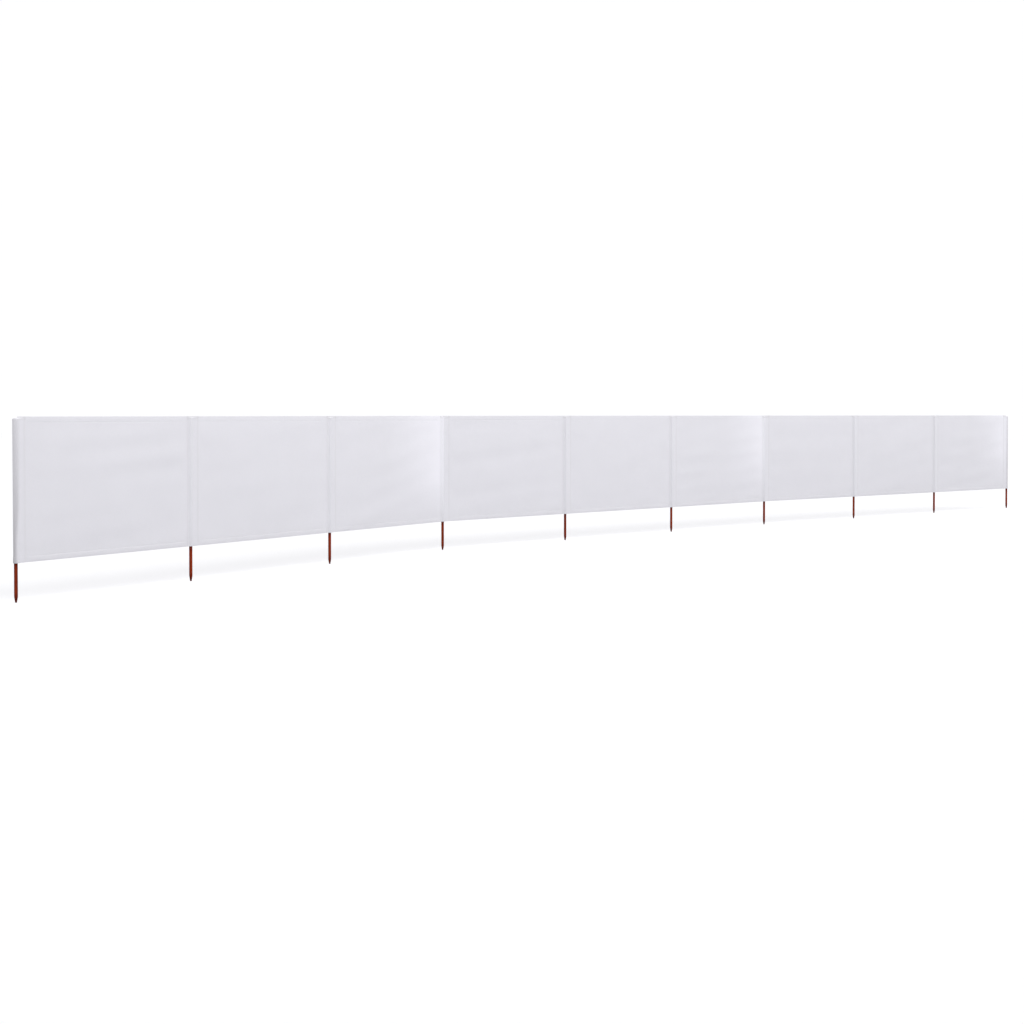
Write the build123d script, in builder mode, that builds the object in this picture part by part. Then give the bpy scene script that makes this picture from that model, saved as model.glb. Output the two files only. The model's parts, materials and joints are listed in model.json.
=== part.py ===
"""Beach windbreak: white cloth bays sewn between sleeves, each sleeve drawn over a pointed wooden pole.

The line is set out in three straight runs of three bays and turns a little from run to run.
The origin is on the blunt tip of the first pole, +X runs to the last pole, +Z is up and -Y is the sheltered side.
"""

import os
from math import acos, atan2, degrees, hypot

from build123d import *

# Driving dimensions, in millimetres and degrees
bay_width = 1333.0  # from pole to pole along the cloth
bays_per_run = 3
run_turns = (13.0, 4.0)  # how far the line turns at the end of the first and the second run

pole_length = 1000.0
pole_diameter = 20.0
tip_length = 32.0
tip_flat_diameter = 10.0
pole_top_bevel = 2.0

cloth = 0.8  # one layer
cloth_height = 800.0
cloth_bottom = 215.0  # above the tips of the poles
hem_width = 35.0

near_reach = 18.0  # from a pole to the seam of its sleeve that it lies against
far_reach = 58.0  # from a pole to the other seam of its sleeve
pole_clearance = 0.3  # between the pole and the cloth drawn over it
seam_width = 12.0  # where the two layers of a sleeve grip the edge of a bay

# Worked out from the above
half_sheet = cloth / 2
seam_layers = 3 * cloth  # front of the sleeve, edge of the bay, back of the sleeve
tunnel_radius = pole_diameter / 2 + pole_clearance


def set_out_line():
    """Returns where each pole stands and the heading of each bay, with the last pole on the X axis."""
    headings = []
    heading = 0.0
    for turn in (*run_turns, 0.0):
        headings += [heading] * bays_per_run
        heading -= turn
    spots = [Vector(0, 0, 0)]
    for heading in headings:
        spots.append(spots[-1] + Vector(bay_width, 0, 0).rotate(Axis.Z, heading))
    swing = degrees(atan2(spots[-1].Y, spots[-1].X))
    return [spot.rotate(Axis.Z, -swing) for spot in spots], [heading - swing for heading in headings]


def draw_tunnel(arms):
    """Draws the inside of a sleeve: round at the pole, and on each arm straight on from the pole to a slit at the seam."""
    Circle(tunnel_radius)
    for heading, reach in arms:
        touch_angle = atan2(half_sheet, reach) + acos(tunnel_radius / hypot(reach, half_sheet))
        touch = Vector(tunnel_radius, 0, 0).rotate(Axis.Z, degrees(touch_angle))
        with Locations(Location((0, 0, 0), (0, 0, heading))):
            Polygon(
                (reach, -half_sheet),
                (reach, half_sheet),
                (touch.X, touch.Y),
                (touch.X, -touch.Y),
                align=None,
            )


def draw_seams(arms, thickness):
    """Draws the strip along each seam where a sleeve and a bay are sewn together."""
    for heading, reach in arms:
        with Locations(Location((0, 0, 0), (0, 0, heading))), Locations((reach, 0)):
            Rectangle(seam_width, thickness, align=(Align.MIN, Align.CENTER))


def make_pole(spot):
    """A turned pole with a blunt point and a bevelled top."""
    with BuildPart() as pole:
        with BuildSketch(Plane(origin=spot, x_dir=(1, 0, 0), z_dir=(0, -1, 0))):
            with BuildLine():
                Polyline(
                    (0, 0),
                    (tip_flat_diameter / 2, 0),
                    (pole_diameter / 2, tip_length),
                    (pole_diameter / 2, pole_length),
                    (0, pole_length),
                    close=True,
                )
            make_face()
        revolve(axis=Axis(spot, (0, 0, 1)))
        chamfer(pole.edges().group_by(Axis.Z)[-1], length=pole_top_bevel)
    return pole.part


def make_pocket(spot, arms):
    """A sleeve of two cloth layers round a pole, closed on top, with a turned-up mouth and a seam on each arm."""
    foot = Plane(origin=spot + Vector(0, 0, cloth_bottom))
    with BuildPart() as pocket:
        for layers, height in ((1, cloth_height), (2, hem_width)):
            with BuildSketch(foot):
                draw_tunnel(arms)
                offset(amount=layers * cloth)
            extrude(amount=height)
        with BuildSketch(foot):
            draw_seams(arms, seam_layers)
        extrude(amount=cloth_height)
        with BuildSketch(foot):
            draw_seams(arms, cloth)
        extrude(amount=cloth_height, mode=Mode.SUBTRACT)
        with BuildSketch(foot):
            draw_tunnel(arms)
        extrude(amount=cloth_height - cloth, mode=Mode.SUBTRACT)
    return pocket.part


def make_panel(spot, heading, end_reach):
    """One bay of cloth between two sleeves, with its top and bottom hems folded to the weather side."""
    along = Vector(1, 0, 0).rotate(Axis.Z, heading)
    foot = Plane(origin=spot + Vector(0, 0, cloth_bottom) + along * far_reach, x_dir=along, z_dir=(0, 0, 1))
    panel_length = bay_width - far_reach - end_reach
    with BuildPart() as panel:
        with BuildSketch(foot):
            Rectangle(panel_length, cloth, align=(Align.MIN, Align.CENTER))
        extrude(amount=cloth_height)
        for hem_foot in (0, cloth_height - hem_width):
            with BuildSketch(foot.offset(hem_foot)):
                with Locations((seam_width, half_sheet)):
                    Rectangle(panel_length - 2 * seam_width, cloth, align=(Align.MIN, Align.MIN))
            extrude(amount=hem_width)
    return panel.part


def save(part, name):
    """Labels a finished piece and writes it to its own file."""
    part.label = name
    export_step(part, f"parts/{name}.step")


os.makedirs("parts", exist_ok=True)
spots, headings = set_out_line()

for number, spot in enumerate(spots, 1):
    save(make_pole(spot), f"pole_{number}")

# Each pole lies against the seam before it, but the last one has its whole sleeve before it
end_reaches = [near_reach] * (len(headings) - 1) + [far_reach]

for number, spot in enumerate(spots, 1):
    arms = []
    if number > 1:
        arms.append((headings[number - 2] + 180, end_reaches[number - 2]))
    if number < len(spots):
        arms.append((headings[number - 1], far_reach))
    save(make_pocket(spot, arms), f"pole_pocket_{number}")

for number, (spot, heading, end_reach) in enumerate(zip(spots, headings, end_reaches), 1):
    save(make_panel(spot, heading, end_reach), f"cloth_panel_{number}")
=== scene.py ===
"""Looks of the beach windbreak: bays of woven cloth, sleeves over the poles, stitches and stained wood.

Lengths are in metres, in the frame of the solids: +X along the row, +Z up, and the sheltered side faces -Y.
A bay's own coordinates are the run along the row from its first pole, the height, and the stand-off to the
sheltered side. A sleeve's own coordinates are the run round its pole, counted anticlockwise from above, and
the height.
"""

import json
from math import pi, radians, tau

import bpy
import numpy as np
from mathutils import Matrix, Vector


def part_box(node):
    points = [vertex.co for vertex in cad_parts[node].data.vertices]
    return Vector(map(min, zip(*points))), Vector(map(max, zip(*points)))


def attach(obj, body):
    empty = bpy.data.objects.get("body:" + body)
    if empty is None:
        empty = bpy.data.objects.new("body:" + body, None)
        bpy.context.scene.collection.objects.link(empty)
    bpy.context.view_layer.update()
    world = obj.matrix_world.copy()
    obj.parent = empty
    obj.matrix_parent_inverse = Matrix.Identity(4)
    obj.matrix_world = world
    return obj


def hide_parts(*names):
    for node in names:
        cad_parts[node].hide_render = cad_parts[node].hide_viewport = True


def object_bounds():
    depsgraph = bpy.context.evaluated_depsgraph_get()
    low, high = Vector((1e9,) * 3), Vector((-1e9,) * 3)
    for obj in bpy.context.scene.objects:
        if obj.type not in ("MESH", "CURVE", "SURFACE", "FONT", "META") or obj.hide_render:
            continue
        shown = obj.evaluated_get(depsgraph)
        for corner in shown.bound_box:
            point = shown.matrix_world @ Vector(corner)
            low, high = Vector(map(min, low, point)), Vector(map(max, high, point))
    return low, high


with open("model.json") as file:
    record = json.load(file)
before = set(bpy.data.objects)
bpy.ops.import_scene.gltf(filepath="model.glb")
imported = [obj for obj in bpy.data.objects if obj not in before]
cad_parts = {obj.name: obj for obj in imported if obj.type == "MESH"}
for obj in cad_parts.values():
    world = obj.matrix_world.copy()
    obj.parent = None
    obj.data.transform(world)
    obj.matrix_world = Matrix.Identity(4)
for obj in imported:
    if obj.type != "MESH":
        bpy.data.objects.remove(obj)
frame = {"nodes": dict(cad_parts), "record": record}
cad_low, cad_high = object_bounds()

# Places and sizes read from the frame
pole_feet = [np.array(mount["pos_m"]) for mount in frame["record"]["mounts"]]
pole_count = len(pole_feet)
bay_count = pole_count - 1
pole_low, pole_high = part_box("pole_1")
pole_radius = (pole_high.x - pole_low.x) / 2
pole_top = pole_high.z
cloth_low, cloth_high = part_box("cloth_panel_1")
cloth_bottom = cloth_low.z
cloth_top = cloth_high.z
cloth_height = cloth_top - cloth_bottom

# Values shared with the solids, the reaches from a pole to the seam before it and to the seam after it
bays_per_run = 3
near_reach = 0.018
far_reach = 0.058
seam_width = 0.012
hem_width = 0.035

# The cloth
cloth_thickness = 0.0006
layer_pitch = 0.00075
fold_radius = layer_pitch / 2
fold_angles = np.linspace(0, pi, 6)[1:-1]
sleeve_ease = 0.0016
sleeve_radius = pole_radius + sleeve_ease
end_looseness = 0.004
closing_radius = layer_pitch
mouth_flare = 0.0005
corner_fold = 0.006

# Stitches
stitch_pitch = 0.005
stitch_length = 0.0038
stitch_width = 0.0009
stitch_height = 0.0005
stitch_length_spread = 0.08
stitch_skew_spread = 0.06
row_inset = 0.003
hem_row = hem_width - row_inset
seam_rows = (0.003, 0.009)
closing_row = 0.006
row_margin = 0.004

# Dirt and painted shade, as shares of fully darkened cloth, and their spread from a row of stitches or an
# edge
# Rows of stitches, seams and the mouth's row: dirt and painted shade in their grooves, more under the lower
# hem
lower_row_dirt_and_shade = 0.22
upper_row_dirt_and_shade = 0.08
edge_dust = 0.15
seam_dirt_and_shade = 0.28
mouth_row_dirt_and_shade = 0.25
# The closed end above the pole's top is darkened as painted shade
closed_end_shade = 0.35
dirt_and_shade_spread = 0.003

# Colours, as linear values
cloth_white = (0.80, 0.793, 0.835, 1)
# A paler, bluer white that paints highlights on the cloth
cloth_painted_highlight = (0.915, 0.907, 0.96, 1)
# A darker grey of the cloth, for dirt and painted shade on it and for the thread's uneven colour
cloth_darkened = (0.70, 0.69, 0.715, 1)
# The grey of dark wood seen through the cloth, which also paints shade on an end sleeve
wood_shadow = (0.26, 0.25, 0.26, 1)
thread_white = (0.84, 0.835, 0.86, 1)
wood_stain = (0.18, 0.016, 0.005, 1)
wood_dark = (0.06, 0.005, 0.003, 1)
wood_warm = (0.32, 0.042, 0.010, 1)
floor_pale = (0.62, 0.62, 0.63, 1)
sky_pale = (0.985, 0.985, 1.0, 1)
white = (1, 1, 1, 1)

# The marks on the cloth, and how much of each shows on the face behind
cloth_marks = ("painted_highlight", "dirt_and_shade", "wood_behind_and_shade")
back_share = np.array([0.3, 1.0, 1.0])

random = np.random.default_rng(seed=80)


# Shared shapes


def ease(start, end, value):
    """Rises from 0 to 1 between start and end, level at both: three t squared less two t cubed."""
    t = np.clip((value - start) / (end - start), 0, 1)
    return t * t * (3 - 2 * t)


def bell(offset, width):
    """A bell curve: e to the power of minus the square of the offset over the width."""
    return np.exp(-((offset / width) ** 2))


def steps(start, *stops):
    """Positions from the start through the stops, each a place and the number of even steps to it."""
    places = [np.array([start])]
    for place, count in stops:
        places.append(np.linspace(places[-1][-1], place, count + 1)[1:])
    return np.concatenate(places)


def along_the_cut(heights, offsets):
    """Distances from the start of a cut profile, given by its heights and its offsets from the upright."""
    return np.concatenate([[0], np.cumsum(np.hypot(np.diff(heights), np.diff(offsets)))])


def bay_axes(bay):
    """The unit vectors along a bay and to its sheltered side."""
    run = pole_feet[bay] - pole_feet[bay - 1]
    along = run / np.linalg.norm(run)
    return along, np.array([along[1], -along[0], 0.0])


def put_in_scene(name, vertices, faces):
    """Makes a smooth mesh object from vertex and face arrays, sharp only along its cut edges."""
    cut_edge_angle = radians(62)
    mesh = bpy.data.meshes.new(name)
    mesh.from_pydata(vertices, [], faces)
    mesh.polygons.foreach_set("use_smooth", np.ones(len(mesh.polygons), bool))
    mesh.set_sharp_from_angle(angle=cut_edge_angle)
    piece = bpy.data.objects.new(name, mesh)
    bpy.context.scene.collection.objects.link(piece)
    return piece


def grid_normals(middle):
    """Unit normals of a grid of points: the cross product of its steps across and its steps up."""
    normals = np.cross(np.gradient(middle, axis=1), np.gradient(middle, axis=0))
    return normals / np.linalg.norm(normals, axis=2, keepdims=True)


def grid_faces(rows, columns):
    """Corner numbers of every square of a grid, anticlockwise seen from where its normals point."""
    first = (np.arange(rows - 1)[:, None] * columns + np.arange(columns - 1)).ravel()
    return np.column_stack([first, first + 1, first + columns + 1, first + columns])


def rim_faces(rows, columns):
    """Corner numbers of the narrow squares that join the edges of a grid to those of its copy behind it."""
    numbers = np.arange(rows * columns).reshape(rows, columns)
    edge = np.concatenate([numbers[0], numbers[1:, -1], numbers[-1, -2::-1], numbers[-2:0:-1, 0]])
    after = np.roll(edge, -1)
    copy = rows * columns
    return np.column_stack([edge, edge + copy, after + copy, after])


def cloth_of(layers):
    """Vertices, faces, places on the flat cloth and marks of closed cloth.

    Each layer is a grid of points in the middle of the cloth, with its places on the flat cloth and its
    marks. The cloth's two faces stand half its thickness either side of the grid, along the grid's normals,
    and a rim joins them. The face behind has only its share of each mark.
    """
    vertices, faces, places, marks = [], [], [], []
    count = 0
    for middle, place, mark in layers:
        rows, columns = middle.shape[:2]
        half = grid_normals(middle) * cloth_thickness / 2
        face = grid_faces(rows, columns)
        behind = face[:, ::-1] + rows * columns
        vertices.append(np.concatenate([(middle + half).reshape(-1, 3), (middle - half).reshape(-1, 3)]))
        faces.append(np.concatenate([face, behind, rim_faces(rows, columns)]) + count)
        places.append(np.tile(place.reshape(-1, 2), (2, 1)))
        mark = mark.reshape(-1, len(cloth_marks))
        marks.append(np.concatenate([mark, mark * back_share]))
        count += 2 * rows * columns
    return np.concatenate(vertices), np.concatenate(faces), np.concatenate(places), np.concatenate(marks)


def cloth_piece(name, layers):
    """A piece of closed cloth, with a map of its places on the flat cloth and an attribute for each mark."""
    vertices, faces, places, marks = cloth_of(layers)
    piece = put_in_scene(name, vertices, faces)
    mesh = piece.data
    corners = np.zeros(len(mesh.loops), np.int32)
    mesh.loops.foreach_get("vertex_index", corners)
    flat_map = mesh.uv_layers.new(name="cloth_metres")
    flat_map.data.foreach_set("uv", places[corners].astype(np.float32).ravel())
    for mark_name, mark in zip(cloth_marks, marks.T):
        attribute = mesh.attributes.new(mark_name, "FLOAT", "POINT")
        attribute.data.foreach_set("value", np.ascontiguousarray(mark, np.float32))
    return piece


def stitch_piece(name, centres, along, outward):
    """Rows of stitches: each is a thread that lies along its row, two four-sided rings with pointed ends."""
    ring_share = 0.55
    sunk_share = 0.3
    across = np.cross(outward, along)
    ends = 0.5 * stitch_length * (1 + stitch_length_spread * random.standard_normal(len(centres)))
    skew = stitch_skew_spread * random.standard_normal(len(centres))
    along, across = along + skew[:, None] * across, across - skew[:, None] * along
    ring = np.array([(1, 0), (0, 1), (-1, 0), (0, -1)])
    sides = len(ring)
    reach = np.concatenate([[-1], np.full(sides, -ring_share), np.full(sides, ring_share), [1]])
    side = np.concatenate([[0], ring[:, 0], ring[:, 0], [0]]) * stitch_width / 2
    rise = np.concatenate([[-sunk_share], ring[:, 1], ring[:, 1], [-sunk_share]]) * stitch_height / 2
    vertices = (
        centres[:, None]
        + (ends[:, None] * reach)[:, :, None] * along[:, None]
        + side[None, :, None] * across[:, None]
        + rise[None, :, None] * outward[:, None]
    ).reshape(-1, 3)
    turn = np.arange(sides)
    after = (turn + 1) % sides
    ring_1 = 1
    ring_2 = ring_1 + sides
    tip = ring_2 + sides
    first_end = np.column_stack([np.zeros(sides, int), ring_1 + after, ring_1 + turn])
    last_end = np.column_stack([np.full(sides, tip), ring_2 + turn, ring_2 + after])
    body = np.column_stack([ring_1 + turn, ring_1 + after, ring_2 + after, ring_2 + turn])
    start = len(reach) * np.arange(len(centres))[:, None, None]
    triangles = np.concatenate([(start + first_end).reshape(-1, 3), (start + last_end).reshape(-1, 3)])
    return put_in_scene(name, vertices, triangles.tolist() + (start + body).reshape(-1, 4).tolist())


# Bays of cloth


def waves(count, longest, shortest, height, least_turn=-pi / 2, most_turn=pi / 2):
    """Random waves on flat cloth: the two wave numbers and the phase of each, and the height of all.

    Their crests lie along the first coordinate, each turned anticlockwise by an angle between the two given.
    """
    numbers = tau / random.uniform(shortest, longest, count)
    headings = pi / 2 + random.uniform(least_turn, most_turn, count)
    phases = random.uniform(0, tau, count)
    return numbers * np.cos(headings), numbers * np.sin(headings), phases, height


def sum_of_waves(wave, x, y):
    """Adds up the waves at places x, y: sines of their wave numbers times the place, plus their phases."""
    x_number, y_number, phase, height = wave
    return height * np.sin(x[..., None] * x_number + y[..., None] * y_number + phase).sum(-1)


def ends_run(bay):
    """Whether a bay is the last of a straight run."""
    return bay > 0 and bay % bays_per_run == 0


def painted_highlight_near_end(pole, nearing, height):
    """The painted highlight on cloth as it nears the last pole of a run: a power of how near it is.

    It is nothing at the cloth's foot and eases to the full some way up, and it is most in the first run.
    """
    in_first_run = pole == bays_per_run + 1
    most, sharpness, full_height_share = (1.0, 1.1, 0.5) if in_first_run else (0.85, 1.5, 0.6)
    return most * nearing**sharpness * ease(0, full_height_share, (height - cloth_bottom) / cloth_height)


class BayShape:
    """How far one bay's cloth stands to the sheltered side of the straight line between its poles.

    The cloth bellies out by a half sine wave along the bay, most at mid height. The last bay of a run
    bellies out again near the top of its far end. Soft waves lie all over it, folds run along it from pole
    to pole, pulls run in from the sleeves and die away from them, shorter ripples stand along the hems, and
    each hem's row of stitches presses a groove. Between that row and the edge the hem rounds out, the lower
    one more, and each here more and there less.

    A pair named along or up gives the shares of the bay's length or height between which a change eases in,
    and a spread is the range of a random draw.
    """

    usual_belly = 0.011
    belly_spread = (0.8, 1.2)
    belly_at_hems_share = 0.4
    end_belly = 0.055
    end_belly_along = (0.4, 0.9)
    end_belly_up = (0.0, 0.85)
    held_reach = 0.05
    pull_reach = 0.11
    pull_stretch = 0.15
    ripple_reach = 0.05
    ripple_stretch = 0.2
    groove_depth = 0.0005
    groove_width = 0.0025
    lower_roll = 0.0012
    upper_roll = 0.0004
    roll_change_up = (0.4, 0.6)
    highlight_start_share = 0.45
    highlight_length_share = 0.513

    def __init__(self, bay):
        self.start = far_reach
        self.end = np.linalg.norm(pole_feet[bay] - pole_feet[bay - 1]) - self.end_reach(bay)
        self.last_pole = bay + 1
        self.ends_run = ends_run(bay)
        self.belly = self.usual_belly * random.uniform(*self.belly_spread)
        self.soft = waves(4, longest=0.55, shortest=0.25, height=0.0003)
        self.folds = waves(6, longest=0.36, shortest=0.13, height=0.00045, least_turn=-0.05, most_turn=0.3)
        self.rolls = waves(3, longest=0.7, shortest=0.25, height=0.3)
        self.pulls = waves(3, longest=0.13, shortest=0.06, height=0.00035)
        self.hem_ripples = waves(3, longest=0.12, shortest=0.06, height=0.0003)

    @staticmethod
    def end_reach(bay):
        """The distance from a bay's last pole back to its cloth: the far one only at the row's end."""
        return far_reach if bay == bay_count else near_reach

    def share_along(self, run):
        """How far along the cloth a run lies: 0 at its first edge and 1 at its last."""
        return np.clip((run - self.start) / (self.end - self.start), 0, 1)

    def painted_highlight(self, run, height):
        """The painted highlight on the cloth: most at the top of the far end of a run, and not at its foot.
        """
        if not self.ends_run:
            return np.zeros(np.broadcast(run, height).shape)
        past_start = self.share_along(run) - self.highlight_start_share
        nearing = np.clip(past_start / self.highlight_length_share, 0, 1)
        return painted_highlight_near_end(self.last_pole, nearing, height)

    def stand_off(self, run, height):
        """The belly, and the rest of the shape, which dies out where a sleeve's seam holds the cloth."""
        run, height = np.broadcast_arrays(run, height)
        share = self.share_along(run)
        up = (height - cloth_bottom) / cloth_height
        at_hems = self.belly_at_hems_share
        fullness = at_hems + (1 - at_hems) * np.sin(pi * np.clip(up, 0, 1))
        belly = self.belly * np.sin(pi * share) * fullness
        if self.ends_run:
            end_fullness = ease(*self.end_belly_along, share) * ease(*self.end_belly_up, up)
            belly = belly + self.end_belly * (1 - share) * end_fullness
        from_seam = np.minimum(run - self.start, self.end - run)
        held = ease(seam_width, seam_width + self.held_reach, from_seam)
        from_hem = np.minimum(height - cloth_bottom, cloth_top - height)
        pulls = sum_of_waves(self.pulls, self.pull_stretch * run, height)
        pulls = pulls * np.exp(-np.clip(from_seam, 0, None) / self.pull_reach)
        ripples = sum_of_waves(self.hem_ripples, run, self.ripple_stretch * height)
        ripples = ripples * np.exp(-from_hem / self.ripple_reach)
        groove = -self.groove_depth * bell(from_hem - hem_row, self.groove_width)
        full_roll = self.lower_roll + (self.upper_roll - self.lower_roll) * ease(*self.roll_change_up, up)
        roll = full_roll * np.sin(pi * np.clip(from_hem / hem_row, 0, 1))
        roll = roll * (1 + sum_of_waves(self.rolls, run, height))
        soft = sum_of_waves(self.soft, run, height) + sum_of_waves(self.folds, run, height)
        return belly + held * (soft + pulls + ripples + groove + roll)


def hem_profile():
    """Heights and set-backs along a bay's cut: from its lower hem's free edge, under the fold, up and over.

    Each hem lies one layer behind the cloth, and each fold is a half circle between the two. The steps are
    finest beside the rows of stitches.
    """
    beside_row_behind = 0.004
    beside_row = 0.006
    near_row = 0.05
    face_height = cloth_height - 2 * fold_radius
    upper_row = face_height - hem_row
    hem = steps(
        hem_width - fold_radius,
        (hem_row + beside_row_behind, 1),
        (hem_row - beside_row_behind, 4),
        (0.0, 3),
    )
    upright = steps(
        0.0,
        (hem_row - beside_row, 4),
        (hem_row + beside_row, 8),
        (hem_row + near_row, 5),
        (upper_row - near_row, 46),
        (upper_row - beside_row, 5),
        (upper_row + beside_row, 8),
        (face_height, 4),
    )
    low = cloth_bottom + fold_radius
    high = cloth_top - fold_radius
    heights = np.concatenate(
        [
            low + hem,
            low - fold_radius * np.sin(fold_angles),
            low + upright,
            high + fold_radius * np.sin(fold_angles),
            high - hem[::-1],
        ]
    )
    set_backs = np.concatenate(
        [
            np.full(len(hem), layer_pitch),
            fold_radius * (1 + np.cos(fold_angles)),
            np.zeros(len(upright)),
            fold_radius * (1 - np.cos(fold_angles)),
            np.full(len(hem), layer_pitch),
        ]
    )
    return heights, set_backs


def bay_cloth(bay, shape):
    """One bay of cloth: its cut, both hems folded back, carried along the bay and stood off by its shape."""
    fine_reach = 0.12
    along, outward = bay_axes(bay)
    length = shape.end - shape.start
    runs = shape.start + steps(
        0.0,
        (seam_width, 2),
        (fine_reach, 11),
        (length - fine_reach, 62),
        (length - seam_width, 11),
        (length, 2),
    )
    heights, set_backs = hem_profile()
    stand_off = shape.stand_off(runs[None, :], heights[:, None]) - set_backs[:, None]
    middle = pole_feet[bay - 1] + runs[None, :, None] * along + stand_off[:, :, None] * outward
    middle[:, :, 2] += heights[:, None]
    up_the_cut = along_the_cut(heights, set_backs) + cloth_bottom - hem_width
    place = np.stack(np.broadcast_arrays(runs[None, :], up_the_cut[:, None]), axis=2)
    from_edge = np.minimum(heights - cloth_bottom, cloth_top - heights)
    # The hem rows are darkened for dirt and as painted shade in their grooves, the lower more; the edges for
    # dirt
    row_dirt_and_shade = np.where(heights < cloth_bottom + 2 * hem_width, lower_row_dirt_and_shade, upper_row_dirt_and_shade)
    on_row = row_dirt_and_shade * bell(from_edge - hem_row, dirt_and_shade_spread)
    dirt_and_shade = on_row + edge_dust * np.exp(-from_edge / dirt_and_shade_spread)
    # A painted highlight at the top of the far end of a run's last bay
    painted_highlight = shape.painted_highlight(runs[None, :], heights[:, None])
    mark = np.stack([painted_highlight, dirt_and_shade[:, None] + 0 * painted_highlight, 0 * painted_highlight], axis=2)
    piece = cloth_piece(f"bay_cloth_{bay}", [(middle, place, mark)])
    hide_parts(f"cloth_panel_{bay}")
    return piece, (length, cloth_height + 2 * hem_width)


def hem_stitches(bay, shape):
    """The two hem rows of a bay, on the cloth's face and on the hem behind it."""
    along, outward = bay_axes(bay)
    margin = seam_width + row_margin
    runs = np.arange(shape.start + margin, shape.end - margin, stitch_pitch)
    centres, facing = [], []
    for height in (cloth_bottom + hem_row, cloth_top - hem_row):
        stand_off = shape.stand_off(runs, np.full(len(runs), height))
        for side, layers in ((1, 0), (-1, 1)):
            off = stand_off - layers * layer_pitch + side * cloth_thickness / 2
            spot = pole_feet[bay - 1] + runs[:, None] * along + off[:, None] * outward
            centres.append(spot + np.array([0, 0, height]))
            facing.append(np.tile(side * outward, (len(runs), 1)))
    centres = np.concatenate(centres)
    along = np.tile(along, (len(centres), 1))
    return stitch_piece(f"hem_stitches_{bay}", centres, along, np.concatenate(facing))


# Sleeves over the poles


def angle_of(point):
    """The angle of points seen from above, anticlockwise from +X."""
    return np.arctan2(point[..., 1], point[..., 0])


def drawn_round(first, last, radius, counts):
    """The path of cloth drawn round a pole, for each height, and how slack the cloth is along it.

    The path runs straight from the first flange's end to its seam, on to where it touches a circle of the
    given radius, anticlockwise round that, and straight on to the last seam and flange. first and last are
    pairs of points, a flange's end and its seam, one for each height, seen from above with the pole at the
    origin.

    The slack is nothing on the flanges and round the pole, and a half sine wave on each straight between
    them, higher where the straight is longer.
    """
    (first_end, first_seam), (last_end, last_seam) = first, last
    flange_steps, straight_steps, round_steps = counts
    first_touch = angle_of(first_seam) + np.arccos(radius / np.linalg.norm(first_seam, axis=-1))
    last_touch = angle_of(last_seam) - np.arccos(radius / np.linalg.norm(last_seam, axis=-1))
    turn = np.mod(last_touch - first_touch, tau)
    angles = first_touch[:, None] + turn[:, None] * np.linspace(0, 1, round_steps + 1)
    circle = radius[:, None, None] * np.stack([np.cos(angles), np.sin(angles)], axis=2)

    def straight(start, end, count):
        """Evenly spaced points from the start to just before the end."""
        share = np.linspace(0, 1, count + 1)[:-1, None]
        return start[:, None] * (1 - share) + end[:, None] * share

    path = np.concatenate(
        [
            straight(first_end, first_seam, flange_steps),
            straight(first_seam, circle[:, 0], straight_steps),
            circle,
            straight(last_seam, circle[:, -1], straight_steps)[:, ::-1],
            straight(last_end, last_seam, flange_steps)[:, ::-1],
        ],
        axis=1,
    )
    hump = np.sin(pi * np.linspace(0, 1, straight_steps + 1)[:-1])
    first_span = np.linalg.norm(first_seam - circle[:, 0], axis=1)
    last_span = np.linalg.norm(last_seam - circle[:, -1], axis=1)
    first_hump, last_hump = (span[:, None] / far_reach * hump for span in (first_span, last_span))
    flat = np.zeros((len(radius), flange_steps))
    taut = np.zeros((len(radius), round_steps + 1))
    return path, np.concatenate([flat, first_hump, taut, last_hump[:, ::-1], flat], axis=1)


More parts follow.
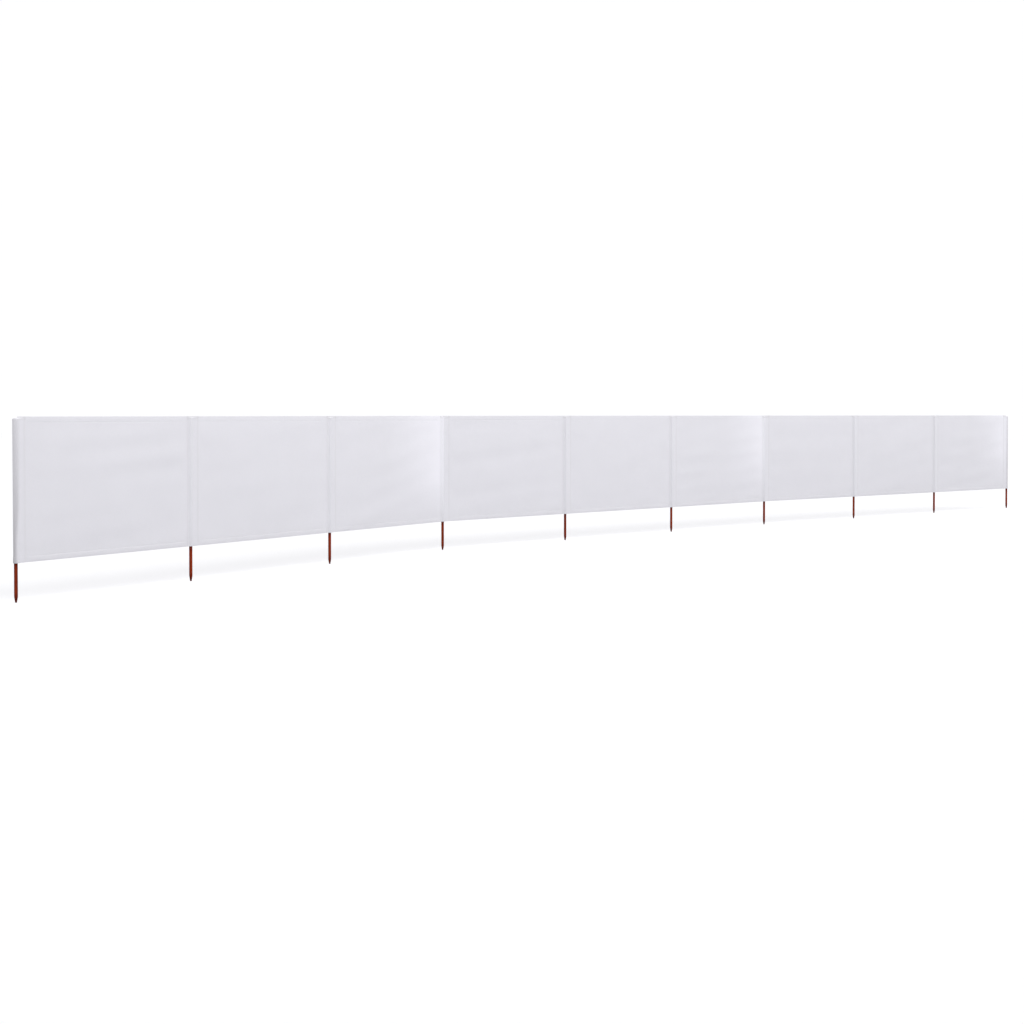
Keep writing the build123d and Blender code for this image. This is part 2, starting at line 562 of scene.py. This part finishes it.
class SleeveShape:
    """The two layers of one sleeve, or the single wrap of an end sleeve, as paths seen from above.

    An inner sleeve has its near seam in the bay before and its far seam in the bay after. An end sleeve has
    only its far seam. The cloth keeps to the pole up to the pole's top and then closes to a flat end in a
    quarter of an ellipse, and the outer corner of an end sleeve is folded in there.

    Each arm is a unit vector from the pole along a bay, one to its sheltered side, and the distance from the
    pole to the seam. Counts of steps are for a flange, a straight and the round. The show values say how far
    the pole shows through the cloth, and where; on an end sleeve they also paint shade on the round.
    """

    end_steps = (3, 8, 22)
    inner_steps = (3, 8, 9)
    least_loose_share = 0.5
    hollow = 0.0012
    hollow_spread = (0.7, 1.3)
    hollow_swing_share = 0.4
    hollow_wave_number = 9
    sewn_reach = 0.02
    over_hem_reach = 0.004
    highlight_edge = 0.006
    inner_show = 0.03
    end_show_and_shade = {1: 0.47, pole_count: 0.9}
    show_lost_share = 0.7
    show_top_edge = 0.004
    show_loose_up = (0.1, 0.45)
    end_show_and_shade_set_out = 0.005
    first_show_and_shade_set_out = 0.009
    show_width = 0.011
    show_widening = 0.005

    def __init__(self, pole):
        self.pole = pole
        self.arms = []
        if pole > 1:
            along, outward = bay_axes(pole - 1)
            self.arms.append((-along[:2], outward[:2], BayShape.end_reach(pole - 1)))
        if pole < pole_count:
            along, outward = bay_axes(pole)
            self.arms.append((along[:2], outward[:2], far_reach))
        self.is_end = len(self.arms) == 1
        self.creases = waves(5, longest=0.09, shortest=0.03, height=0.0002)
        # Three draws for one or two layers, which keeps the later draws as they are
        self.hollows = self.hollow * random.uniform(*self.hollow_spread, 3)

    def openness(self, height):
        """How open the sleeve is: 1 up to the pole's top, then a quarter ellipse to 0 at the sewn end."""
        share = np.clip((height - pole_top) / (cloth_top - closing_row - pole_top), 0, 1)
        return np.sqrt(1 - share**2)

    def looseness(self, height):
        """How much wider than the others the first sleeve is, easing to more up high."""
        share = self.least_loose_share + ease(cloth_bottom, pole_top, height)
        return end_looseness * share * (self.pole == 1)

    def radius(self, height):
        """The radius round the pole: a little flared at the mouth, and closing above the pole's top."""
        flare = mouth_flare * (1 - ease(0, hem_width, height - cloth_bottom))
        full = sleeve_radius + self.looseness(height) + flare
        return closing_radius + (full - closing_radius) * self.openness(height)

    def painted_highlight(self, path, height):
        """The painted highlight: as at the end of the highlighted bay before the pole, and none after it."""
        if not ends_run(self.pole - 1):
            return np.zeros(path.shape[:2])
        before = ease(-self.highlight_edge, self.highlight_edge, path @ self.arms[0][0])
        return painted_highlight_near_end(self.pole, before, height[:, None])

    def wood_behind_and_shade(self, path, height):
        """How far the dark pole shows through: a bell curve across the sleeve, most low on the last one.

        Higher up, where the cloth lies looser, the band is fainter and wider. On an end sleeve it is set out
        towards the outer fold, and low on the first sleeve still more, and there it also paints the shade of
        the sleeve's round side.
        """
        up = np.clip((height - cloth_bottom) / (pole_top - cloth_bottom), 0, 1)
        clearest = self.end_show_and_shade.get(self.pole, self.inner_show)
        under_top = ease(pole_top + self.show_top_edge, pole_top - self.show_top_edge, height)
        most = clearest * (1 - self.show_lost_share * up) * under_top
        loose = ease(*self.show_loose_up, up)
        set_out = self.end_show_and_shade_set_out * self.is_end + self.first_show_and_shade_set_out * (self.pole == 1) * (1 - loose)
        width = self.show_width + self.show_widening * loose
        across = path @ self.arms[0][0]
        return most[:, None] * bell(across + set_out[:, None], width[:, None])

    def flange(self, arm, side, height):
        """The end of a flange and its seam at each height. Behind the bay it also goes over the hems."""
        away, outward, reach = arm
        from_edge = np.minimum(height - cloth_bottom, cloth_top - height)
        over_hem = 0 if side > 0 else ease(hem_width + self.over_hem_reach, hem_width, from_edge)
        off = side * layer_pitch * (1 + over_hem) * np.ones_like(height)
        seam = reach * away + off[:, None] * outward
        return seam + seam_width * away, seam

    def layers(self, height):
        """Each layer's path and slack at the heights.

        An end sleeve is drawn round a place set in from the pole where it is looser and where its corner is
        folded in.
        """
        if self.is_end:
            (arm,) = self.arms
            front, back = self.flange(arm, 1, height), self.flange(arm, -1, height)
            ends = (back, front) if self.pole == 1 else (front, back)
            sewn = ease(-closing_row, closing_row, height - cloth_top + closing_row)
            set_in = self.looseness(height) - self.looseness(cloth_bottom)
            set_in = set_in + corner_fold * (1 - self.openness(height) + sewn)
            set_in = set_in[:, None] * arm[0]
            moved = [(end - set_in, seam - set_in) for end, seam in ends]
            path, slack = drawn_round(*moved, self.radius(height), self.end_steps)
            return [(path + set_in[:, None], slack)]
        before, after = self.arms
        front = (self.flange(before, 1, height), self.flange(after, 1, height))
        back = (self.flange(after, -1, height), self.flange(before, -1, height))
        return [drawn_round(*ends, self.radius(height), self.inner_steps) for ends in (front, back)]

    def stand_out(self, layer, round_it, slack, height):
        """How far out from its path a layer stands: where it is slack, hollowed and with small creases."""
        height = height[:, None] + 0 * round_it
        swing = self.hollow_swing_share * np.sin(self.hollow_wave_number * height + layer)
        hollow = self.hollows[layer] * (1 + swing)
        creases = sum_of_waves(self.creases, round_it + layer, height)
        return slack * (creases - hollow) * ease(0, self.sewn_reach, cloth_top - height)


def sleeve_heights():
    """Heights and set-outs up a sleeve's cut: down its mouth's hem, round the fold and up to the top."""
    below_top = 0.02
    pole_part = pole_top - cloth_bottom - fold_radius
    whole = cloth_height - fold_radius
    hem = steps(hem_width - fold_radius, (0.0, 5))
    upright = steps(
        0.0,
        (hem_width, 5),
        (pole_part - below_top, 40),
        (pole_part, 3),
        (whole - closing_row, 8),
        (whole, 2),
    )
    low = cloth_bottom + fold_radius
    heights = np.concatenate([low + hem, low - fold_radius * np.sin(fold_angles), low + upright])
    set_outs = np.concatenate(
        [
            np.full(len(hem), layer_pitch),
            fold_radius * (1 + np.cos(fold_angles)),
            np.zeros(len(upright)),
        ]
    )
    return heights, set_outs


def lifted(path, heights):
    """Puts paths seen from above at their heights."""
    return np.concatenate([path, np.broadcast_to(heights[:, None, None], (*path.shape[:2], 1))], axis=2)


def outward_of(path):
    """Unit vectors to the right of each path's steps, which is away from the pole."""
    step = np.gradient(path, axis=1)
    outward = np.stack([step[:, :, 1], -step[:, :, 0]], axis=2)
    return outward / np.linalg.norm(outward, axis=2, keepdims=True)


def run_along(path):
    """Distances along each path from its start."""
    return np.cumsum(np.linalg.norm(np.diff(path, axis=1, prepend=path[:, :1]), axis=2), axis=1)


def sleeve_cloth(pole, shape):
    """One sleeve: each layer's path carried up its cut, slack between pole and seam, with small creases."""
    seam_edge = 0.002
    closed_end_shade_reach = 0.006
    heights, set_outs = sleeve_heights()
    up_the_cut = along_the_cut(heights, set_outs)
    layers = []
    width = 0.0
    for layer, (path, slack) in enumerate(shape.layers(heights)):
        round_it = run_along(path)
        stand_out = set_outs[:, None] + shape.stand_out(layer, round_it, slack, heights)
        middle = lifted(path + stand_out[:, :, None] * outward_of(path), heights)
        place = np.stack([round_it, np.broadcast_to(up_the_cut[:, None], round_it.shape)], axis=2)
        from_end = np.minimum(round_it, round_it[:, -1:] - round_it)
        # The seams and the mouth's row are darkened for dirt and as painted shade in their grooves
        on_seam = seam_dirt_and_shade * ease(seam_width + seam_edge, seam_width, from_end)
        on_mouth = mouth_row_dirt_and_shade * bell(heights - cloth_bottom - hem_row, dirt_and_shade_spread)
        # Painted shade over the closed end, from just below the pole's top upwards
        on_closed_end = closed_end_shade * ease(pole_top - closed_end_shade_reach, pole_top, heights)
        dirt_and_shade = on_seam + on_mouth[:, None] + on_closed_end[:, None]
        mark = np.stack([shape.painted_highlight(path, heights), dirt_and_shade, shape.wood_behind_and_shade(path, heights)], axis=2)
        layers.append((middle + pole_feet[pole - 1], place, mark))
        width += np.median(round_it[:, -1])
    piece = cloth_piece(f"sleeve_cloth_{pole}", layers)
    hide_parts(f"pole_pocket_{pole}")
    return piece, (width, cloth_height + hem_width)


def seam_stitches(shape):
    """Two rows up each seam on both sides: for each row its stitches' places, directions and facings."""
    mouth_edge = 0.001
    heights = np.arange(cloth_bottom + row_margin, cloth_top - row_margin, stitch_pitch)
    upward = np.tile((0.0, 0.0, 1.0), (len(heights), 1))
    over_mouth = layer_pitch * ease(hem_width + mouth_edge, hem_width, heights - cloth_bottom)
    lift = over_mouth + cloth_thickness / 2
    for arm in shape.arms:
        away, sheltered, _ = arm
        for side in (1, -1):
            _, seam = shape.flange(arm, side, heights)
            outward = side * np.append(sheltered, 0)
            for row in seam_rows:
                spot = np.column_stack([seam + row * away, heights])
                yield spot + lift[:, None] * outward, upward, np.tile(outward, (len(heights), 1))


def round_stitches(shape):
    """A row round the mouth's hem and one across the closed end: places, directions and facings as above."""
    margin = seam_width + row_margin
    for height, hem_layers in ((cloth_bottom + hem_row, 1), (cloth_top - closing_row, 0)):
        level = np.array([height])
        lift = hem_layers * layer_pitch + cloth_thickness / 2
        for layer, (path, slack) in enumerate(shape.layers(level)):
            run = run_along(path)
            away = outward_of(path)
            off = lift + shape.stand_out(layer, run, slack, level)
            surface = path + off[:, :, None] * away
            stops = np.arange(margin, run[0, -1] - margin, stitch_pitch)
            line = np.column_stack([np.interp(stops, run[0], surface[0, :, axis]) for axis in (0, 1)])
            outward = np.column_stack([np.interp(stops, run[0], away[0, :, axis]) for axis in (0, 1)])
            outward = np.column_stack([outward / np.linalg.norm(outward, axis=1, keepdims=True), 0 * stops])
            centres = np.column_stack([line, np.full(len(stops), height)])
            yield centres, np.cross((0.0, 0.0, 1.0), outward), outward


def sleeve_stitches(pole, shape):
    """All the rows of one sleeve's stitches."""
    rows = [*seam_stitches(shape), *round_stitches(shape)]
    centres, along, facing = (np.concatenate(parts) for parts in zip(*rows))
    return stitch_piece(f"sleeve_stitches_{pole}", centres + pole_feet[pole - 1], along, facing)


# Materials


class Nodes:
    """A short way to write a material's nodes. Values are numbers, colours or the outputs of other nodes."""

    def __init__(self, material):
        material.use_nodes = True
        self.tree = material.node_tree
        self.surface = self.tree.nodes["Principled BSDF"].inputs

    def add(self, kind, settings=None, **inputs):
        """Adds a node with its settings and inputs."""
        node = self.tree.nodes.new(f"ShaderNode{kind}")
        for name, value in (settings or {}).items():
            setattr(node, name, value)
        for name, value in inputs.items():
            self.set(node.inputs[name], value)
        return node

    def set(self, socket, value):
        """Links an output to a socket, or sets a plain value on it."""
        if isinstance(value, bpy.types.NodeSocket):
            self.tree.links.new(value, socket)
        else:
            socket.default_value = value

    def math(self, operation, first, second=0.0):
        """One step of arithmetic."""
        node = self.add("Math", {"operation": operation})
        self.set(node.inputs[0], first)
        self.set(node.inputs[1], second)
        return node.outputs[0]

    def remap(self, value, span, result=(0.0, 1.0)):
        """Takes a value from a span of numbers to the same place in the result's span, and no further."""
        node = self.add("MapRange")
        for socket, number in zip(node.inputs, (value, *span, *result)):
            self.set(socket, number)
        return node.outputs[0]

    def mix(self, share, first, second, blend="MIX"):
        """Blends the second colour into the first by a share."""
        node = self.add("Mix", {"data_type": "RGBA", "blend_type": blend})
        self.set(node.inputs[0], share)
        self.set(node.inputs[6], first)
        self.set(node.inputs[7], second)
        return node.outputs[2]

    def mark(self, name):
        """A mark that the cloth carries."""
        return self.add("Attribute", {"attribute_name": name}).outputs["Fac"]

    def noise(self, where, scale=1.0, detail=2.0, roughness=0.5):
        """Noise at places, with a number of cells to each unit."""
        node = self.add("TexNoise", Vector=where, Scale=scale, Detail=detail, Roughness=roughness)
        return node.outputs["Fac"]

    def stretched(self, where, scale):
        """Places scaled by a different number along each axis."""
        return self.add("Mapping", Vector=where, Scale=scale).outputs[0]

    def uneven(self, height, where, scale, detail, reach):
        """A height raised by noise, by up to a reach."""
        return self.math("ADD", height, self.math("MULTIPLY", self.noise(where, scale, detail), reach))

    def bump(self, height, distance, strength, normal=None):
        """A normal bent by a height, on top of another one if given."""
        node = self.add("Bump", Height=height, Distance=distance, Strength=strength)
        if normal is not None:
            self.set(node.inputs["Normal"], normal)
        return node.outputs[0]


def woven_cloth():
    """White plain weave: threads both ways, slubs, faint mottling, and painted shade low down.

    Marks on the cloth say where a highlight is painted, where dirt and painted shade darken it, and where
    dark wood shows through it, on an end sleeve with painted shade as well.
    """
    thread_pitch = 0.0009
    weft_slub_cells = (60, 900, 1)
    warp_slub_cells = (900, 45, 1)
    slub_span = (0.7, 1.3)
    slub_height_share = 0.5
    crumple_cells = (12, 12, 26)
    weave_shades = (0.93, 1.01)
    slub_shades = (-0.02, 0.02)
    mottle_shades = (-0.007, 0.007)
    low_shade_span = (cloth_bottom + 0.02, cloth_bottom + 0.16)
    most_low_shade = 0.2
    material = bpy.data.materials.new("woven_cloth")
    nodes = Nodes(material)
    place = nodes.add("UVMap", {"uv_map": "cloth_metres"}).outputs[0]
    across, up, _ = nodes.add("SeparateXYZ", Vector=place).outputs
    warp = nodes.math("SINE", nodes.math("MULTIPLY", across, pi / thread_pitch))
    weft = nodes.math("SINE", nodes.math("MULTIPLY", up, pi / thread_pitch))
    weave = nodes.math("ABSOLUTE", nodes.math("MULTIPLY", warp, weft))
    weft_slubs = nodes.noise(nodes.stretched(place, weft_slub_cells))
    warp_slubs = nodes.noise(nodes.stretched(place, warp_slub_cells))
    slubs = nodes.math("ADD", weft_slubs, warp_slubs)
    where = nodes.add("TexCoord").outputs["Object"]
    height = nodes.add("SeparateXYZ", Vector=where).outputs[2]
    mottle = nodes.noise(where, scale=5.0, detail=3.0)
    # Painted shade: the cloth grows darker towards its foot, below an uneven line
    uneven_height = nodes.uneven(height, where, scale=14.0, detail=4.0, reach=0.1)
    painted_low_shade = nodes.remap(uneven_height, low_shade_span, (most_low_shade, 0.0))
    # Painted highlight near the far ends of the runs
    colour = nodes.mix(nodes.mark("painted_highlight"), cloth_white, cloth_painted_highlight)
    # Darkened for dirt and as painted shade at rows, seams and the closed end
    colour = nodes.mix(nodes.math("MAXIMUM", painted_low_shade, nodes.mark("dirt_and_shade")), colour, cloth_darkened)
    # Dark wood showing through the cloth, and painted shade on an end sleeve's round
    colour = nodes.mix(nodes.mark("wood_behind_and_shade"), colour, wood_shadow)
    shade = nodes.remap(weave, (0.0, 1.0), weave_shades)
    shade = nodes.math("ADD", shade, nodes.remap(slubs, slub_span, slub_shades))
    shade = nodes.math("ADD", shade, nodes.remap(mottle, (0.3, 0.7), mottle_shades))
    tint = nodes.add("CombineColor", Red=shade, Green=shade, Blue=shade).outputs[0]
    nodes.set(nodes.surface["Base Color"], nodes.mix(1.0, colour, tint, "MULTIPLY"))
    nodes.set(nodes.surface["Roughness"], nodes.remap(slubs, slub_span, (0.72, 0.86)))
    thread_height = nodes.math("ADD", weave, nodes.math("MULTIPLY", slubs, slub_height_share))
    threads = nodes.bump(thread_height, distance=0.00016, strength=0.6)
    crumple = nodes.noise(nodes.stretched(where, crumple_cells), detail=4.0, roughness=0.45)
    nodes.set(nodes.surface["Normal"], nodes.bump(crumple, distance=0.0016, strength=0.3, normal=threads))
    nodes.surface["Specular IOR Level"].default_value = 0.3
    nodes.surface["Sheen Weight"].default_value = 0.12
    nodes.surface["Sheen Roughness"].default_value = 0.5
    return material


def sewing_thread():
    """White sewing thread with a fine twist and slightly uneven colour."""
    diagonal = {"bands_direction": "DIAGONAL"}
    uneven_darkness = 0.5
    twist_darkness = 0.2
    material = bpy.data.materials.new("sewing_thread")
    nodes = Nodes(material)
    where = nodes.add("TexCoord").outputs["Object"]
    twist = nodes.add("TexWave", diagonal, Vector=where, Scale=620.0, Distortion=1.5).outputs[1]
    uneven = nodes.noise(where, scale=160.0)
    colour = nodes.mix(nodes.remap(uneven, (0.35, 0.7), (0.0, uneven_darkness)), thread_white, cloth_darkened)
    colour = nodes.mix(nodes.remap(twist, (0.0, 1.0), (0.0, twist_darkness)), colour, cloth_darkened)
    nodes.set(nodes.surface["Base Color"], colour)
    nodes.set(nodes.surface["Roughness"], nodes.remap(uneven, (0.3, 0.7), (0.45, 0.62)))
    nodes.set(nodes.surface["Normal"], nodes.bump(twist, distance=0.00012, strength=0.7))
    return material


def stained_wood():
    """Red-brown stained wood: long bent grain, pores, dark streaks, and darker at its point and sleeve."""
    grain_cells = (420, 420, 9)
    streak_cells = (140, 140, 2.5)
    pore_cells = (1500, 1500, 60)
    bend_cells = (9, 9, 3)
    bend_reach = 0.02
    streak_darkness = 0.75
    pore_darkness = 0.55
    pore_depth_share = 0.6
    point_darkness = 0.72
    mouth_shade_darkness = 0.7
    point_span = (0.03, 0.075)
    mouth_span = (cloth_bottom - 0.02, cloth_bottom + 0.01)
    material = bpy.data.materials.new("stained_wood")
    nodes = Nodes(material)
    where = nodes.add("TexCoord").outputs["Object"]
    height = nodes.add("SeparateXYZ", Vector=where).outputs[2]
    bend = nodes.noise(nodes.stretched(where, bend_cells))
    shifted = nodes.add("VectorMath", {"operation": "SCALE"}, Scale=bend_reach)
    nodes.set(shifted.inputs[0], nodes.add("CombineXYZ", X=bend, Y=bend, Z=0.0).outputs[0])
    bent = nodes.add("VectorMath", {"operation": "ADD"})
    nodes.set(bent.inputs[0], where)
    nodes.set(bent.inputs[1], shifted.outputs[0])
    grain = nodes.noise(nodes.stretched(bent.outputs[0], grain_cells), detail=4.0, roughness=0.6)
    streaks = nodes.noise(nodes.stretched(bent.outputs[0], streak_cells), detail=3.0)
    pores = nodes.remap(nodes.noise(nodes.stretched(where, pore_cells)), (0.58, 0.72))
    colour = nodes.mix(nodes.remap(grain, (0.32, 0.68)), wood_stain, wood_warm)
    colour = nodes.mix(nodes.remap(streaks, (0.45, 0.75), (0.0, streak_darkness)), colour, wood_dark)
    colour = nodes.mix(nodes.math("MULTIPLY", pores, pore_darkness), colour, wood_dark)
    uneven_height = nodes.uneven(height, where, scale=60.0, detail=3.0, reach=0.03)
    at_point = nodes.remap(uneven_height, point_span, (point_darkness, 0.0))
    # Painted shade on the wood just below the sleeve's mouth
    painted_shade_at_mouth = nodes.remap(uneven_height, mouth_span, (0.0, mouth_shade_darkness))
    colour = nodes.mix(nodes.math("MAXIMUM", at_point, painted_shade_at_mouth), colour, wood_dark)
    nodes.set(nodes.surface["Base Color"], colour)
    nodes.set(nodes.surface["Roughness"], nodes.remap(grain, (0.3, 0.7), (0.55, 0.75)))
    relief = nodes.math("SUBTRACT", grain, nodes.math("MULTIPLY", pores, pore_depth_share))
    nodes.set(nodes.surface["Normal"], nodes.bump(relief, distance=0.0004, strength=0.6))
    nodes.surface["Specular IOR Level"].default_value = 0.06
    return material


# Floor, light and camera


def seen_directly(nodes):
    """1 for rays that show the background: those from the camera, from gloss and through clear things."""
    path = nodes.new("ShaderNodeLightPath")
    share = path.outputs["Is Camera Ray"]
    for kind in ("Is Glossy Ray", "Is Transmission Ray"):
        either = nodes.new("ShaderNodeMath")
        either.operation = "MAXIMUM"
        nodes.id_data.links.new(share, either.inputs[0])
        nodes.id_data.links.new(path.outputs[kind], either.inputs[1])
        share = either.outputs[0]
    return share


def lay_floor():
    """A pale square floor under the poles' tips. It glows to white where it is seen, and keeps shadows."""
    reach = 60.0
    glow_strength = 0.365
    corners = np.array([(-reach, -reach, 0), (reach, -reach, 0), (reach, reach, 0), (-reach, reach, 0)])
    floor = put_in_scene("floor", corners, [(0, 1, 2, 3)])
    material = bpy.data.materials.new("pale_floor")
    material.use_nodes = True
    nodes, links = material.node_tree.nodes, material.node_tree.links
    surface = nodes["Principled BSDF"].inputs
    surface["Base Color"].default_value = floor_pale
    surface["Roughness"].default_value = 1.0
    surface["Specular IOR Level"].default_value = 0.0
    surface["Emission Color"].default_value = white
    glow = nodes.new("ShaderNodeMath")
    glow.operation = "MULTIPLY"
    glow.inputs[1].default_value = glow_strength
    links.new(seen_directly(nodes), glow.inputs[0])
    links.new(glow.outputs[0], surface["Emission Strength"])
    floor.data.materials.append(material)


def hang_lamp(light, rotation, location=(0, 0, 0)):
    """Puts a light in the scene, turned and placed."""
    lamp = bpy.data.objects.new(light.name, light)
    lamp.rotation_euler = rotation
    lamp.location = location
    bpy.context.scene.collection.objects.link(lamp)


def light_room():
    """Even light from all round, white where it shows, with two soft suns and a strip above the row.

    The key sun shines from the sheltered side and the fill from behind. The strip lies along the row, before
    it and above it, and is tilted towards it.
    """
    room_light = 0.70
    room_seen = 1.02
    world = bpy.data.worlds.new("studio")
    bpy.context.scene.world = world
    world.use_nodes = True
    nodes, links = world.node_tree.nodes, world.node_tree.links
    background = nodes["Background"]
    background.inputs["Color"].default_value = sky_pale
    strength = nodes.new("ShaderNodeMapRange")
    strength.inputs["To Min"].default_value = room_light
    strength.inputs["To Max"].default_value = room_seen
    links.new(seen_directly(nodes), strength.inputs["Value"])
    links.new(strength.outputs[0], background.inputs["Strength"])

    for name, heading, height, power, softness in (
        ("key", 12.0, 42.0, 0.735, 45.0),
        ("back_fill", 140.0, 42.0, 0.9, 60.0),
    ):
        sun = bpy.data.lights.new(name, "SUN")
        sun.energy = power
        sun.angle = radians(softness)
        hang_lamp(sun, (radians(90 - height), 0, radians(heading)))

    before_row = 1.0
    above_floor = 2.7
    tilt = radians(40)
    strip = bpy.data.lights.new("strip", "AREA")
    strip.shape = "RECTANGLE"
    strip.size = 24.0
    strip.size_y = 0.7
    strip.energy = 75.0
    middle_of_row = (cad_low.x + cad_high.x) / 2
    hang_lamp(strip, (tilt, 0, 0), (middle_of_row, cad_low.y - before_row, above_floor))


def set_camera():
    """The photograph's view: level with the cloth's top edge, from before the first pole, along the row.

    The view is shifted down more than it is tilted, so that the poles at its ends stand upright.
    """
    tilted_down = radians(1.08)
    turned_right = radians(46.944)
    camera = bpy.data.cameras.new("camera")
    camera.sensor_width = 36.0
    camera.lens = 55.52
    camera.shift_y = -0.0664
    holder = bpy.data.objects.new("camera", camera)
    holder.location = (-4.437, -7.850, 1.0277)
    holder.rotation_euler = (pi / 2 - tilted_down, 0, -turned_right)
    bpy.context.scene.collection.objects.link(holder)
    bpy.context.scene.camera = holder
    bpy.context.scene.view_settings.view_transform = "Standard"


# The windbreak


def finish_piece(piece, material):
    """Gives a piece its material and slot, and makes it ride on the one body."""
    piece.data.materials.append(material)
    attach(piece, "root")


cloth_material = woven_cloth()
thread_material = sewing_thread()
wood_material = stained_wood()

for pole in range(1, pole_count + 1):
    sleeve_shape = SleeveShape(pole)
    sleeve, flat = sleeve_cloth(pole, sleeve_shape)
    rows = sleeve_stitches(pole, sleeve_shape)
    finish_piece(sleeve, cloth_material)
    finish_piece(rows, thread_material)
    wood = frame["nodes"][f"pole_{pole}"]
    wood.data.materials.clear()
    wood.data.materials.append(wood_material)

for bay in range(1, bay_count + 1):
    bay_shape = BayShape(bay)
    cloth, flat = bay_cloth(bay, bay_shape)
    rows = hem_stitches(bay, bay_shape)
    finish_piece(cloth, cloth_material)
    finish_piece(rows, thread_material)

lay_floor()
light_room()
set_camera()
